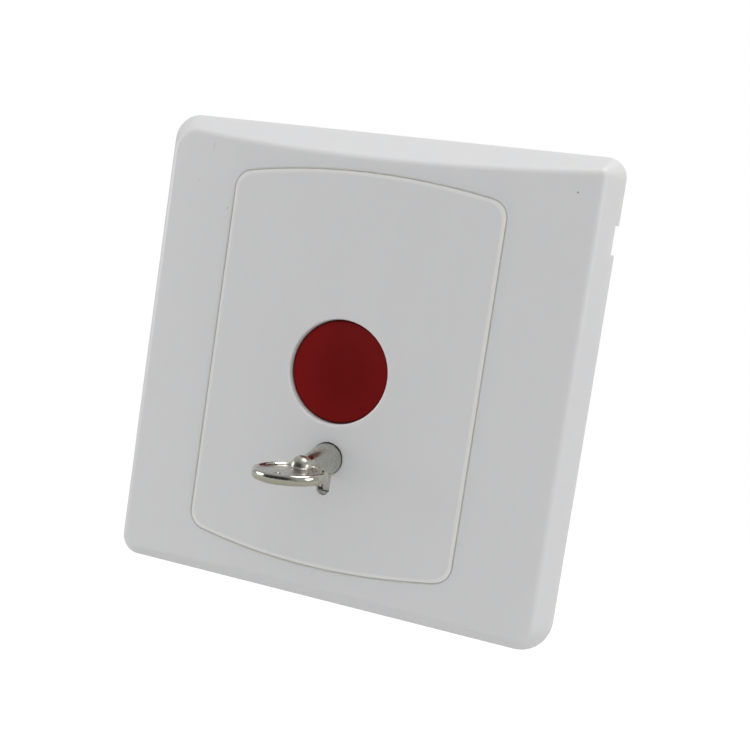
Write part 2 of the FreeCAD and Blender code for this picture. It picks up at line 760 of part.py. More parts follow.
def rear_cover():
    cover = housing_outline(0, cover_front, cover_back)
    top = terminal_z + terminal_half_height
    bottom = housing_bottom + terminal_margin
    y0, y1 = cover_back - sink, cover_back + terminal_rise
    for i in range(4):
        x = (i - 1.5) * terminal_pitch
        cover = cover.fuse(box(x - terminal_rib / 2, x + terminal_rib / 2, y0, y1, bottom, top))
    half = 1.5 * terminal_pitch + terminal_rib / 2
    cover = cover.fuse(box(-half, half, y0, y1, top, top + terminal_rib))
    nut = nut_half + cover_recess_clearance
    nut_seat = cover_back - nut_thickness - cover_recess_clearance
    reach = blade_half_width + hole_clearance
    slot = blade_thickness / 2 + hole_clearance
    for x in terminal_places():
        cover = cover.cut(box(x - nut, x + nut, nut_seat, cover_back + past, terminal_z - nut, terminal_z + nut))
        cover = cover.cut(rod(terminal_screw_r + hole_clearance, cover_front - past, cover_back, x, terminal_z))
        cover = cover.cut(box(x - reach, x + reach, cover_front - past, cover_back + past,
                              riser_z - slot, riser_z + slot))
    for x, z in column_places():
        cover = cover.cut(rod(housing_screw_r + hole_clearance, cover_front - past, cover_back + past, x, z))
    return cover.removeSplitter()


def housing_screws():
    tip = boss_front + boss_floor + hole_clearance
    screws = [pan_screw(housing_screw_r - thread_gap, housing_screw_head_r, housing_screw_head_height,
                        tip, cover_back, x, z) for x, z in column_places()]
    return Part.makeCompound(screws)


def terminal_strip(x, front):
    """Pad on the rear cover, and the riser from it to the blade's plane."""
    back = cover_back + blade_thickness
    pad = box(x - pad_half_width, x + pad_half_width, cover_back, back,
              terminal_z - pad_half_height, riser_z + blade_thickness / 2)
    pad = pad.cut(rod(terminal_screw_r + hole_clearance, cover_back - past, back + past, x, terminal_z))
    riser = box(x - blade_half_width, x + blade_half_width, front, back,
                riser_z - blade_thickness / 2, riser_z + blade_thickness / 2)
    return pad.fuse(riser)


def common_blade():
    x, w = -terminal_pitch, blade_half_width
    end = contact_x + contact_r
    outline = [(x - w, riser_z), (x + w, riser_z), (x + w, -w), (end, -w), (end, w), (x - w, w)]
    blade = flat_outline(outline, common_front, common_back).fuse(terminal_strip(x, common_front))
    return blade.cut(rod(contact_r / 2, common_front - past, common_back + past, contact_x)).removeSplitter()


def closed_blade():
    x, w = terminal_pitch, blade_half_width
    end = contact_x - contact_r
    outline = [(x - w, riser_z), (x + w, riser_z), (x + w, w), (end, w), (end, -w), (x - w, -w)]
    blade = flat_outline(outline, closed_front, closed_back).fuse(terminal_strip(x, closed_front))
    return blade.cut(rod(contact_r / 2, closed_front - past, closed_back + past, contact_x)).removeSplitter()


def open_blade():
    w = blade_half_width
    back = open_front + blade_thickness
    end = contact_x + contact_r
    outline = [(-w, riser_z), (w, riser_z), (w, -3 * w), (end, -w), (end, w), (contact_x - contact_r, w),
               (contact_x - contact_r, -w), (-w, -3 * w)]
    blade = flat_outline(outline, open_front, back).fuse(terminal_strip(0, open_front))
    return blade.cut(rod(contact_r / 2, open_front - past, back + past, contact_x)).removeSplitter()


def rivet(front, back, blade_front, blade_back):
    """Contact rivet with a head on one or both sides of its blade."""
    solid = rod(contact_r / 2 - thread_gap, front, back, contact_x)
    if front < blade_front:
        solid = solid.fuse(rod(contact_r, front, blade_front, contact_x))
    if back > blade_back:
        solid = solid.fuse(rod(contact_r, blade_back, back, contact_x))
    return solid.removeSplitter()


def common_contact():
    return rivet(common_front - contact_height, common_back + contact_height, common_front, common_back)


def closed_contact():
    return rivet(closed_front, closed_back + contact_height, closed_front, closed_back)


def open_contact():
    back = open_front + blade_thickness
    return rivet(open_face, back, open_front, back)


def terminal_screws():
    seat = cover_back + blade_thickness + clamp_thickness
    tip = cover_back - nut_thickness - terminal_screw_tip
    shank_r = terminal_screw_r - 2 * thread_gap
    screws = [pan_screw(shank_r, terminal_head_r, terminal_head_height, tip, seat, x, terminal_z)
              for x in terminal_places()]
    return Part.makeCompound(screws)


def terminal_clamps():
    front = cover_back + blade_thickness
    grip = front + clamp_thickness + clamp_grip
    clamps = []
    for x in terminal_places():
        clamp = box(x - clamp_half, x + clamp_half, front, front + clamp_thickness,
                    terminal_z - clamp_half, terminal_z + clamp_half)
        for side in (-1, 1):
            edge = x + side * clamp_half
            clamp = clamp.fuse(box(edge, edge - side * clamp_flange, front, grip,
                                   terminal_z - clamp_half, terminal_z + clamp_half))
        hole = rod(terminal_screw_r, front - past, front + clamp_thickness + past, x, terminal_z)
        clamps.append(clamp.cut(hole).removeSplitter())
    return Part.makeCompound(clamps)


def terminal_nuts():
    nuts = []
    for x in terminal_places():
        nut = box(x - nut_half, x + nut_half, cover_back - nut_thickness, cover_back,
                  terminal_z - nut_half, terminal_z + nut_half)
        hole = rod(terminal_screw_r, cover_back - nut_thickness - past, cover_back + past, x, terminal_z)
        nuts.append(nut.cut(hole))
    return Part.makeCompound(nuts)


nodes = {
    "cover_frame": cover_frame,
    "centre_panel": centre_panel,
    "mounting_plate": mounting_plate,
    "panel_screws": panel_screws,
    "button_cap": button_cap,
    "plunger": plunger,
    "return_spring": return_spring,
    "key_rotor": key_rotor,
    "release_cam": release_cam,
    "cam_screw": cam_screw,
    "reset_key": reset_key,
    "latch_plate": latch_plate,
    "latch_spring": latch_spring,
    "switch_housing": switch_housing,
    "rear_cover": rear_cover,
    "housing_screws": housing_screws,
    "common_blade": common_blade,
    "closed_blade": closed_blade,
    "open_blade": open_blade,
    "common_contact": common_contact,
    "closed_contact": closed_contact,
    "open_contact": open_contact,
    "terminal_screws": terminal_screws,
    "terminal_clamps": terminal_clamps,
    "terminal_nuts": terminal_nuts,
}

os.makedirs("parts", exist_ok=True)
for name, make in nodes.items():
    shape = make()
    shape.exportStep(f"parts/{name}.step")
    count = len(shape.Solids)
    print(f"{name}: {count} solid(s), {shape.Volume:.1f} mm3, valid {shape.isValid()}")
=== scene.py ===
import math

import bmesh
import bpy
from mathutils import Matrix, Vector, noise


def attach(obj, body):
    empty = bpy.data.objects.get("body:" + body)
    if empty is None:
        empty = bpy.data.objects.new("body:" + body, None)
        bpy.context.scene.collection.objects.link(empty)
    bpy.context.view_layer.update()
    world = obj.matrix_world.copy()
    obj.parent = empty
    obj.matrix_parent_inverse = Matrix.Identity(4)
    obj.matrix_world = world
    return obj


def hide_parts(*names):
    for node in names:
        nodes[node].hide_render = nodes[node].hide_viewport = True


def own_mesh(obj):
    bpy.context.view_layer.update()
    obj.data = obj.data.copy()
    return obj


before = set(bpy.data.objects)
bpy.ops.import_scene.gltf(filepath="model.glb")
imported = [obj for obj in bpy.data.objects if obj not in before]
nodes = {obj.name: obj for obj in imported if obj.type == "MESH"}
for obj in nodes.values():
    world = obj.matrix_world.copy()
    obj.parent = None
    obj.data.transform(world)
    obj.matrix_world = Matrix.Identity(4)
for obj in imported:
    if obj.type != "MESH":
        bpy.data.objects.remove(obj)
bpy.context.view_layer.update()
scene = bpy.context.scene


# Camera
# The photograph looks at the plate from its right side, a little above its middle, with the plate a few
# degrees out of level in the picture. The place, aim and lens were fitted to the plate's outlines.

picture_px = 750
focal_px = 1136.88
camera_place = Vector((0.07225, -0.19442, 0.01684))
camera_right = Vector((0.92899, 0.33936, 0.14771))
camera_up = Vector((-0.16670, 0.02731, 0.98563))
camera_back = camera_right.cross(camera_up).normalized()

camera_data = bpy.data.cameras.new("photo_camera")
camera_data.sensor_width = 36.0
camera_data.lens = focal_px / picture_px * camera_data.sensor_width
camera_data.clip_start = 0.01
camera_data.clip_end = 20.0
camera = bpy.data.objects.new("photo_camera", camera_data)
camera_turn = Matrix((camera_right, camera_back.cross(camera_right), camera_back)).transposed()
camera.matrix_world = Matrix.Translation(camera_place) @ camera_turn.to_4x4()
scene.collection.objects.link(camera)
scene.camera = camera
scene.view_settings.view_transform = "Standard"


# Floor
# A round sheet of pale paper well below the plate. It is light grey to the plate above it, and white to the
# camera, with whatever shadow falls on it kept.

floor_drop = 0.12
floor_radius = 0.6
floor_colour = (0.66, 0.66, 0.66, 1.0)
floor_lift = 0.55


def add_node(tree, kind, settings=None, **inputs):
    """Adds a shader node, sets its properties, and its input values by name."""
    node = tree.nodes.new(kind)
    for key, value in (settings or {}).items():
        setattr(node, key, value)
    for key, value in inputs.items():
        node.inputs[key.replace("_", " ")].default_value = value
    return node


def new_material(name):
    """Starts a material, and gives it with its node tree and its Principled shader."""
    material = bpy.data.materials.new(name)
    material.use_nodes = True
    return material, material.node_tree, material.node_tree.nodes["Principled BSDF"]


floor_mesh = bpy.data.meshes.new("studio_floor")
floor_form = bmesh.new()
bmesh.ops.create_circle(floor_form, cap_ends=True, radius=floor_radius, segments=96)
floor_form.to_mesh(floor_mesh)
floor_form.free()
floor = bpy.data.objects.new("studio_floor", floor_mesh)
floor.location = (0, 0, -floor_drop)
scene.collection.objects.link(floor)

paper, tree, shader = new_material("floor_paper")
shader.inputs["Base Color"].default_value = floor_colour
shader.inputs["Roughness"].default_value = 0.9
shader.inputs["Specular IOR Level"].default_value = 0.1
ray = add_node(tree, "ShaderNodeLightPath")
lift = add_node(tree, "ShaderNodeEmission", Strength=floor_lift)
seen = add_node(tree, "ShaderNodeMath", {"operation": "MAXIMUM"})
tree.links.new(ray.outputs["Is Camera Ray"], seen.inputs[0])
tree.links.new(ray.outputs["Is Transmission Ray"], seen.inputs[1])
dark = add_node(tree, "ShaderNodeEmission", Strength=0.0)
choice = add_node(tree, "ShaderNodeMixShader")
both = add_node(tree, "ShaderNodeAddShader")
tree.links.new(seen.outputs[0], choice.inputs["Fac"])
tree.links.new(dark.outputs[0], choice.inputs[1])
tree.links.new(lift.outputs[0], choice.inputs[2])
tree.links.new(shader.outputs[0], both.inputs[0])
tree.links.new(choice.outputs[0], both.inputs[1])
tree.links.new(both.outputs[0], tree.nodes["Material Output"].inputs["Surface"])
floor_mesh.materials.append(paper)


# Lamps
# Three large soft boxes, turned to the plate: one high above it, one far to its right, one far to its left.
# The top and right flanks face the first two, so they are lighter than the face, as in the photograph.

lamp_size = 0.5
lamps = {
    "top_box": {"place": (0.25, 0.05, 0.90), "watts": 2.75},
    "right_box": {"place": (0.95, -0.15, 0.20), "watts": 1.2},
    "left_box": {"place": (-1.00, -0.22, 0.12), "watts": 1.9},
}


def soft_box(name, place, watts):
    """Hangs a round lamp at its place, turned to the plate's middle."""
    data = bpy.data.lights.new(name, "AREA")
    data.shape = "DISK"
    data.size = lamp_size
    data.energy = watts
    lamp = bpy.data.objects.new(name, data)
    lamp.location = place
    lamp.rotation_euler = (-Vector(place)).to_track_quat("-Z", "Y").to_euler()
    scene.collection.objects.link(lamp)


for name, lamp in lamps.items():
    soft_box(name, lamp["place"], lamp["watts"])


# Surround
# White paper all round. Dull surfaces get soft light of one strength from everywhere. Bright metal and the
# glossy button show a grey room that is dark behind the camera, and the camera itself sees plain white.

room_light = 0.64
room_white = 1.0
room_grey = 0.42
room_dark = 0.05
dark_side = Vector((-0.28, -0.95, -0.10)).normalized()
dark_from = 0.35
dark_to = 0.85

world = bpy.data.worlds.new("white_surround")
scene.world = world
world.use_nodes = True
world.cycles.sampling_method = "NONE"
tree = world.node_tree
tree.nodes.clear()
ray = add_node(tree, "ShaderNodeLightPath")
seen = add_node(tree, "ShaderNodeMath", {"operation": "MAXIMUM"})
tree.links.new(ray.outputs["Is Camera Ray"], seen.inputs[0])
tree.links.new(ray.outputs["Is Transmission Ray"], seen.inputs[1])
place = add_node(tree, "ShaderNodeTexCoord")
toward = add_node(tree, "ShaderNodeVectorMath", {"operation": "DOT_PRODUCT"})
toward.inputs[1].default_value = dark_side
side = add_node(tree, "ShaderNodeMapRange", {"interpolation_type": "SMOOTHSTEP"})
side.inputs["From Min"].default_value = dark_from
side.inputs["From Max"].default_value = dark_to
side.inputs["To Min"].default_value = room_grey
side.inputs["To Max"].default_value = room_dark
tree.links.new(place.outputs["Generated"], toward.inputs[0])
tree.links.new(toward.outputs["Value"], side.inputs["Value"])
plain_room = add_node(tree, "ShaderNodeBackground", Strength=room_light)
shown_room = add_node(tree, "ShaderNodeBackground")
white_room = add_node(tree, "ShaderNodeBackground", Strength=room_white)
for shade in (plain_room, shown_room, white_room):
    shade.inputs["Color"].default_value = (1, 1, 1, 1)
tree.links.new(side.outputs[0], shown_room.inputs["Strength"])
by_gloss = add_node(tree, "ShaderNodeMixShader")
by_camera = add_node(tree, "ShaderNodeMixShader")
room = add_node(tree, "ShaderNodeOutputWorld")
tree.links.new(ray.outputs["Is Glossy Ray"], by_gloss.inputs["Fac"])
tree.links.new(plain_room.outputs[0], by_gloss.inputs[1])
tree.links.new(shown_room.outputs[0], by_gloss.inputs[2])
tree.links.new(seen.outputs[0], by_camera.inputs["Fac"])
tree.links.new(by_gloss.outputs[0], by_camera.inputs[1])
tree.links.new(white_room.outputs[0], by_camera.inputs[2])
tree.links.new(by_camera.outputs[0], room.inputs["Surface"])


# Mounting plate
# White moulded carrier, screwed to the wall box by its two slots. It is plain ABS straight from the mould, so
# it is duller than the pieces in front of it, and round ejector marks show in its back.

carrier_colour = (0.76, 0.76, 0.74)
carrier_roughness = 0.48
ejector_r_mm = 1.6
ejector_place_mm = 33.0
ejector_line_mm = (0.06, 0.14)
ejector_line_tint = (0.80, 0.80, 0.79)
ejector_step_mm = 0.05
ejector_depth_mm = 0.05


def new_group(name, inputs, outputs):
    """Starts a node group with number inputs (name and default), and outputs (name and kind of socket)."""
    group = bpy.data.node_groups.new(name, "ShaderNodeTree")
    for label, default in inputs.items():
        socket = group.interface.new_socket(label, in_out="INPUT", socket_type="NodeSocketFloat")
        socket.default_value = default
    for label, kind in outputs.items():
        group.interface.new_socket(label, in_out="OUTPUT", socket_type="NodeSocket" + kind)
    return group, group.nodes.new("NodeGroupInput"), group.nodes.new("NodeGroupOutput")


def place_group(tree, group, **inputs):
    """Places a node group, and sets its inputs by name."""
    node = add_node(tree, "ShaderNodeGroup", {"node_tree": group})
    for key, value in inputs.items():
        node.inputs[key.replace("_", " ")].default_value = value
    return node


def maths(tree, operation, *values, clamp=False):
    """A Math node on numbers or sockets, and its result."""
    node = add_node(tree, "ShaderNodeMath", {"operation": operation, "use_clamp": clamp})
    for socket, value in zip(node.inputs, values):
        if isinstance(value, (int, float)):
            socket.default_value = value
        else:
            tree.links.new(value, socket)
    return node.outputs[0]


def length_of(tree, one, other):
    """The length of two offsets that are square to each other."""
    squares = maths(tree, "ADD", maths(tree, "POWER", one, 2.0), maths(tree, "POWER", other, 2.0))
    return maths(tree, "SQRT", squares)


def millimetres(tree, stretch=(1.0, 1.0, 1.0)):
    """The piece's own coordinates in millimetres, stretched along its axes."""
    place = add_node(tree, "ShaderNodeTexCoord")
    scale = add_node(tree, "ShaderNodeVectorMath", {"operation": "MULTIPLY"})
    scale.inputs[1].default_value = [1000.0 * s for s in stretch]
    tree.links.new(place.outputs["Object"], scale.inputs[0])
    return scale.outputs[0]


# Skin of a moulded piece: fine grain, slow flow marks that run down the piece, and the gloss and tone that
# change with them.
moulded_skin, start, end = new_group(
    "moulded_skin",
    {"Grain Size": 0.3, "Flow Size": 9.0, "Roughness": 0.4, "Roughness Spread": 0.06},
    {"Height": "Float", "Flow": "Float", "Roughness": "Float"})
tree = moulded_skin
fine = add_node(tree, "ShaderNodeTexNoise", Detail=3.0, Roughness=0.6)
tree.links.new(millimetres(tree), fine.inputs["Vector"])
tree.links.new(maths(tree, "DIVIDE", 1.0, start.outputs["Grain Size"]), fine.inputs["Scale"])
flow = add_node(tree, "ShaderNodeTexNoise", Detail=4.0, Roughness=0.55, Distortion=0.4)
tree.links.new(millimetres(tree, (1.0, 1.0, 0.45)), flow.inputs["Vector"])
tree.links.new(maths(tree, "DIVIDE", 1.0, start.outputs["Flow Size"]), flow.inputs["Scale"])
half_fine = maths(tree, "MULTIPLY", fine.outputs["Fac"], 0.5)
half_flow = maths(tree, "MULTIPLY", flow.outputs["Fac"], 0.5)
off_middle = maths(tree, "SUBTRACT", maths(tree, "ADD", half_fine, half_flow), 0.5)
spread = maths(tree, "MULTIPLY", off_middle, start.outputs["Roughness Spread"])
gloss = maths(tree, "MULTIPLY_ADD", spread, 4.0, start.outputs["Roughness"])
tree.links.new(gloss, end.inputs["Roughness"])
tree.links.new(fine.outputs["Fac"], end.inputs["Height"])
tree.links.new(flow.outputs["Fac"], end.inputs["Flow"])


def moulded_plastic(name, colour, roughness, grain, depth, tone=0.03, glow=0.0, glow_mm=0.5):
    """Moulded plastic: grain and its depth in millimetres, tone as the share that flow marks darken it."""
    material, tree, shader = new_material(name)
    skin = place_group(tree, moulded_skin, Grain_Size=grain, Roughness=roughness)
    shade = add_node(tree, "ShaderNodeMixRGB", {"blend_type": "MIX"})
    shade.inputs["Color1"].default_value = (*[c * (1 - tone) for c in colour], 1.0)
    shade.inputs["Color2"].default_value = (*[min(c * (1 + tone), 1.0) for c in colour], 1.0)
    bump = add_node(tree, "ShaderNodeBump", Strength=1.0, Distance=depth / 1000)
    tree.links.new(skin.outputs["Flow"], shade.inputs["Fac"])
    tree.links.new(skin.outputs["Height"], bump.inputs["Height"])
    tree.links.new(shade.outputs["Color"], shader.inputs["Base Color"])
    tree.links.new(skin.outputs["Roughness"], shader.inputs["Roughness"])
    tree.links.new(bump.outputs["Normal"], shader.inputs["Normal"])
    shader.inputs["IOR"].default_value = 1.5
    shader.inputs["Subsurface Weight"].default_value = glow
    shader.inputs["Subsurface Radius"].default_value = (1.0, 0.85, 0.70)
    shader.inputs["Subsurface Scale"].default_value = glow_mm / 1000
    return material, tree, shader


def dress(material, *names):
    """Gives the named CAD pieces one material."""
    for name in names:
        slots = nodes[name].data.materials
        slots.clear()
        slots.append(material)


def ramp(tree, value, start, end, low=0.0, high=1.0):
    """A value that runs smoothly from low to high while the given one runs from start to end."""
    node = add_node(tree, "ShaderNodeMapRange", {"interpolation_type": "SMOOTHSTEP"})
    for label, number in (("From Min", start), ("From Max", end), ("To Min", low), ("To Max", high)):
        node.inputs[label].default_value = number
    tree.links.new(value, node.inputs["Value"])
    return node.outputs[0]


def shade_by(tree, shader, mask, colour, blend="MULTIPLY"):
    """Multiplies the material's colour where the mask is 1, or blends it another way."""
    darker = add_node(tree, "ShaderNodeMixRGB", {"blend_type": blend})
    darker.inputs["Color2"].default_value = (*colour, 1.0)
    tree.links.new(shader.inputs["Base Color"].links[0].from_socket, darker.inputs["Color1"])
    tree.links.new(mask, darker.inputs["Fac"])
    tree.links.new(darker.outputs["Color"], shader.inputs["Base Color"])


carrier_white, tree, shader = moulded_plastic(
    "carrier_white", carrier_colour, carrier_roughness, grain=0.25, depth=0.006, glow=0.15)
axes = add_node(tree, "ShaderNodeSeparateXYZ")
tree.links.new(millimetres(tree), axes.inputs[0])
sideways = maths(tree, "SUBTRACT", maths(tree, "ABSOLUTE", axes.outputs["X"]), ejector_place_mm)
upward = maths(tree, "SUBTRACT", maths(tree, "ABSOLUTE", axes.outputs["Z"]), ejector_place_mm)
from_pin = length_of(tree, sideways, upward)
off_edge = maths(tree, "ABSOLUTE", maths(tree, "SUBTRACT", from_pin, ejector_r_mm))
shade_by(tree, shader, ramp(tree, off_edge, *ejector_line_mm, 1.0, 0.0), ejector_line_tint)
pin_face = ramp(tree, from_pin, ejector_r_mm - ejector_step_mm, ejector_r_mm + ejector_step_mm, 1.0, 0.0)
pin_mark = add_node(tree, "ShaderNodeBump", {"invert": True}, Strength=1.0, Distance=ejector_depth_mm / 1000)
tree.links.new(pin_face, pin_mark.inputs["Height"])
tree.links.new(shader.inputs["Normal"].links[0].from_socket, pin_mark.inputs["Normal"])
tree.links.new(pin_mark.outputs["Normal"], shader.inputs["Normal"])
dress(carrier_white, "mounting_plate")


# Centre panel
# Arched white panel with the button's hole and the keyhole, screwed to the mounting plate from behind. Its
# face is a fine satin from the polished mould. A warm painted highlight runs along its edge at the joint.

panel_colour = (0.798, 0.80, 0.806)
panel_roughness = 0.36
panel_edge_highlight_colour = (0.91, 0.895, 0.86)
panel_edge_highlight_mm = 0.9

panel_white, tree, shader = moulded_plastic(
    "panel_white", panel_colour, panel_roughness, grain=0.35, depth=0.002, tone=0.01, glow=0.6, glow_mm=1.0)

# Edge of the joint between panel and frame, as a mask: an upright rounded rectangle with arched ends.
joint_edge, start, end = new_group(
    "joint_edge",
    {"Half Width": 25.5, "Half Height": 35.1, "Arch Radius": 137.0, "Corner": 3.2, "Reach": 0.45},
    {"Mask": "Float"})
tree = joint_edge
axes = add_node(tree, "ShaderNodeSeparateXYZ")
tree.links.new(millimetres(tree), axes.inputs[0])
beside = maths(tree, "ABSOLUTE", axes.outputs["X"])
above = maths(tree, "ABSOLUTE", axes.outputs["Z"])
arch = start.outputs["Arch Radius"]
squares = maths(tree, "SUBTRACT", maths(tree, "POWER", arch, 2.0), maths(tree, "POWER", beside, 2.0))
above = maths(tree, "ADD", above, maths(tree, "SUBTRACT", arch, maths(tree, "SQRT", squares)))
corner = start.outputs["Corner"]
past_side = maths(tree, "ADD", maths(tree, "SUBTRACT", beside, start.outputs["Half Width"]), corner)
past_end = maths(tree, "ADD", maths(tree, "SUBTRACT", above, start.outputs["Half Height"]), corner)
outer = length_of(tree, maths(tree, "MAXIMUM", past_side, 0.0), maths(tree, "MAXIMUM", past_end, 0.0))
inner = maths(tree, "MINIMUM", maths(tree, "MAXIMUM", past_side, past_end), 0.0)
off_joint = maths(tree, "ABSOLUTE", maths(tree, "SUBTRACT", maths(tree, "ADD", outer, inner), corner))
part_way = maths(tree, "DIVIDE", off_joint, start.outputs["Reach"])
tree.links.new(ramp(tree, part_way, 0.5, 1.0, 1.0, 0.0), end.inputs["Mask"])

tree = panel_white.node_tree
# Painted highlight: a lighter, warmer band along the panel's edge at the joint.
edge = place_group(tree, joint_edge, Reach=panel_edge_highlight_mm)
shade_by(tree, shader, edge.outputs["Mask"], panel_edge_highlight_colour, "MIX")
dress(panel_white, "centre_panel")


# Panel screws
# Four self-tapping screws of zinc plated steel, driven from the back of the mounting plate into the panel's
# bosses.

zinc_colour = (0.60, 0.61, 0.62)
zinc_tint = (0.55, 0.55, 0.50)

# Plated metal: clouds in the plating, fine pits under it, and the gloss that changes with them.
plated_skin, start, end = new_group(
    "plated_skin",
    {"Cloud Size": 1.2, "Pit Size": 0.12, "Roughness": 0.2, "Roughness Spread": 0.1},
    {"Height": "Float", "Cloud": "Float", "Roughness": "Float"})
tree = plated_skin
cloud = add_node(tree, "ShaderNodeTexNoise", Detail=3.0, Roughness=0.5)
tree.links.new(millimetres(tree), cloud.inputs["Vector"])
tree.links.new(maths(tree, "DIVIDE", 1.0, start.outputs["Cloud Size"]), cloud.inputs["Scale"])
pits = add_node(tree, "ShaderNodeTexNoise", Detail=2.0, Roughness=0.6)
tree.links.new(millimetres(tree), pits.inputs["Vector"])
tree.links.new(maths(tree, "DIVIDE", 1.0, start.outputs["Pit Size"]), pits.inputs["Scale"])
off_middle = maths(tree, "SUBTRACT", cloud.outputs["Fac"], 0.5)
spread = maths(tree, "MULTIPLY", off_middle, start.outputs["Roughness Spread"])
gloss = maths(tree, "MULTIPLY_ADD", spread, 3.0, start.outputs["Roughness"])
height = maths(tree, "MULTIPLY_ADD", pits.outputs["Fac"], 0.35, cloud.outputs["Fac"])
tree.links.new(gloss, end.inputs["Roughness"])
tree.links.new(height, end.inputs["Height"])
tree.links.new(cloud.outputs["Fac"], end.inputs["Cloud"])


def plated_metal(name, colour, roughness, cloud, depth, tint=None):
    """Bright metal: the size of its clouds and the depth of its skin in millimetres, and the clouds' tint."""
    material, tree, shader = new_material(name)
    skin = place_group(tree, plated_skin, Cloud_Size=cloud, Roughness=roughness)
    shade = add_node(tree, "ShaderNodeMixRGB", {"blend_type": "MIX"})
    shade.inputs["Color1"].default_value = (*colour, 1.0)
    shade.inputs["Color2"].default_value = (*(tint or [c * 0.85 for c in colour]), 1.0)
    bump = add_node(tree, "ShaderNodeBump", Strength=1.0, Distance=depth / 1000)
    tree.links.new(skin.outputs["Cloud"], shade.inputs["Fac"])
    tree.links.new(skin.outputs["Height"], bump.inputs["Height"])
    tree.links.new(shade.outputs["Color"], shader.inputs["Base Color"])
    tree.links.new(skin.outputs["Roughness"], shader.inputs["Roughness"])
    tree.links.new(bump.outputs["Normal"], shader.inputs["Normal"])
    shader.inputs["Metallic"].default_value = 1.0
    return material, tree, shader


zinc, tree, shader = plated_metal("zinc_plate", zinc_colour, 0.28, cloud=1.0, depth=0.004, tint=zinc_tint)
dress(zinc, "panel_screws")


# Button cap
# Dished red cap of glossy plastic, with three lugs behind the panel's collar that keep it in. Its middle and
# its right side are darkened with painted shade, and a painted shaded line runs round its edge.

button_colour = (0.245, 0.0070, 0.0070)
button_roughness = 0.30
button_painted_shade = (0.86, 0.92, 0.92)
button_rim_shade = (0.60, 0.25, 0.25)
button_gloss = 0.1
shaded_middle_mm = (3.0, 8.5)
shaded_side_mm = (-7.5, 0.5)
shaded_rim_mm = (8.75, 9.0)

button_red, tree, shader = moulded_plastic(
    "button_red", button_colour, button_roughness, grain=0.4, depth=0.0015, tone=0.05, glow=0.1, glow_mm=0.3)
shader.inputs["Specular IOR Level"].default_value = button_gloss
axes = add_node(tree, "ShaderNodeSeparateXYZ")
tree.links.new(millimetres(tree), axes.inputs[0])
from_middle = length_of(tree, axes.outputs["X"], axes.outputs["Z"])
# Painted shade: the middle of the cap and its right side are darker, so its left side looks lighter.
shade_by(tree, shader, ramp(tree, from_middle, *shaded_middle_mm, 1.0, 0.0), button_painted_shade)
shade_by(tree, shader, ramp(tree, axes.outputs["X"], *shaded_side_mm), button_painted_shade)
# Painted shade: a dark red line round the cap's edge, where its rounded edge turns away from the light.
shade_by(tree, shader, ramp(tree, from_middle, *shaded_rim_mm), button_rim_shade)
dress(button_red, "button_cap")


# Plunger and key rotor
# Round mouldings of natural acetal, slightly waxy: the plunger under the cap, the rotor that takes the key,
# and the eccentric on its shaft.

acetal_colour = (0.74, 0.73, 0.69)

natural_acetal, tree, shader = moulded_plastic(
    "natural_acetal", acetal_colour, 0.30, grain=0.4, depth=0.002, tone=0.02, glow=0.4, glow_mm=0.8)
dress(natural_acetal, "plunger", "key_rotor", "release_cam")
dress(zinc, "cam_screw")


# Springs
# Open coils of drawn spring wire: one under the cap, and one that pushes the latch down. One end of each
# stays where it is, and the button or the latch presses the other end towards it.

spring_colour = (0.50, 0.50, 0.50)

spring_wire, tree, shader = plated_metal("spring_wire", spring_colour, 0.25, cloud=0.4, depth=0.002)


def coil_spring(name, source):
    """Stands in for a CAD spring with the same coil."""
    spring = bpy.data.objects.new(name, nodes[source].data.copy())
    scene.collection.objects.link(spring)
    spring.data.materials.clear()
    spring.data.materials.append(spring_wire)
    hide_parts(source)
    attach(spring, "root")
    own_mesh(spring)


dress(spring_wire, "return_spring", "latch_spring")
coil_spring("button_coil", "return_spring")
coil_spring("latch_coil", "latch_spring")


# Latch plate
# Stamped slide of zinc plated steel with a window round the plunger. Its flat faces keep the rolled sheet's
# dull streaks.

latch_colour = (0.56, 0.57, 0.58)

latch_steel, tree, shader = plated_metal("latch_steel", latch_colour, 0.36, cloud=2.5, depth=0.003)
dress(latch_steel, "latch_plate")


# Switch housing and rear cover
# Black box of fibre filled nylon behind the plate, with a cover that carries the terminals. The mould was
# spark eroded, so its faces have an even, dull, pebbled grain.

housing_colour = (0.018, 0.018, 0.019)

housing_black, tree, shader = moulded_plastic(
    "housing_black", housing_colour, 0.52, grain=0.30, depth=0.030, tone=0.12)
dress(housing_black, "switch_housing", "rear_cover")
dress(zinc, "housing_screws")


# Contact blades and terminals
# Brass strip blades with silver contact rivets, and three screw terminals: zinc plated screws and clamp
# washers over brass nuts that sit in the cover.

brass_colour = (0.72, 0.52, 0.24)
brass_tint = (0.60, 0.41, 0.20)
silver_colour = (0.80, 0.79, 0.76)
terminal_colour = (0.58, 0.59, 0.58)
terminal_tint = (0.55, 0.53, 0.44)

strip_brass, tree, shader = plated_metal(
    "strip_brass", brass_colour, 0.26, cloud=1.6, depth=0.003, tint=brass_tint)
dress(strip_brass, "common_blade", "closed_blade", "open_blade", "terminal_nuts")
contact_silver, tree, shader = plated_metal("contact_silver", silver_colour, 0.22, cloud=0.6, depth=0.002)
dress(contact_silver, "common_contact", "closed_contact", "open_contact")
terminal_zinc, tree, shader = plated_metal(
    "terminal_zinc", terminal_colour, 0.30, cloud=1.0, depth=0.005, tint=terminal_tint)
dress(terminal_zinc, "terminal_screws", "terminal_clamps")


# Reset key
# One zinc casting, nickel plated: a frosted shank, a ball, and a round head with a rim round a shallow dish,
# both tumbled bright. It sags a little in its hole, and its bit behind the keyhole is left rough and pale.

nickel_colour = (0.66, 0.645, 0.60)
nickel_tint = (0.58, 0.57, 0.49)
frost_tint = (0.80, 0.82, 0.83)
dish_tint = (0.84, 0.84, 0.86)
wall_tint = (0.80, 0.79, 0.68)
bit_colour = (0.78, 0.76, 0.71)

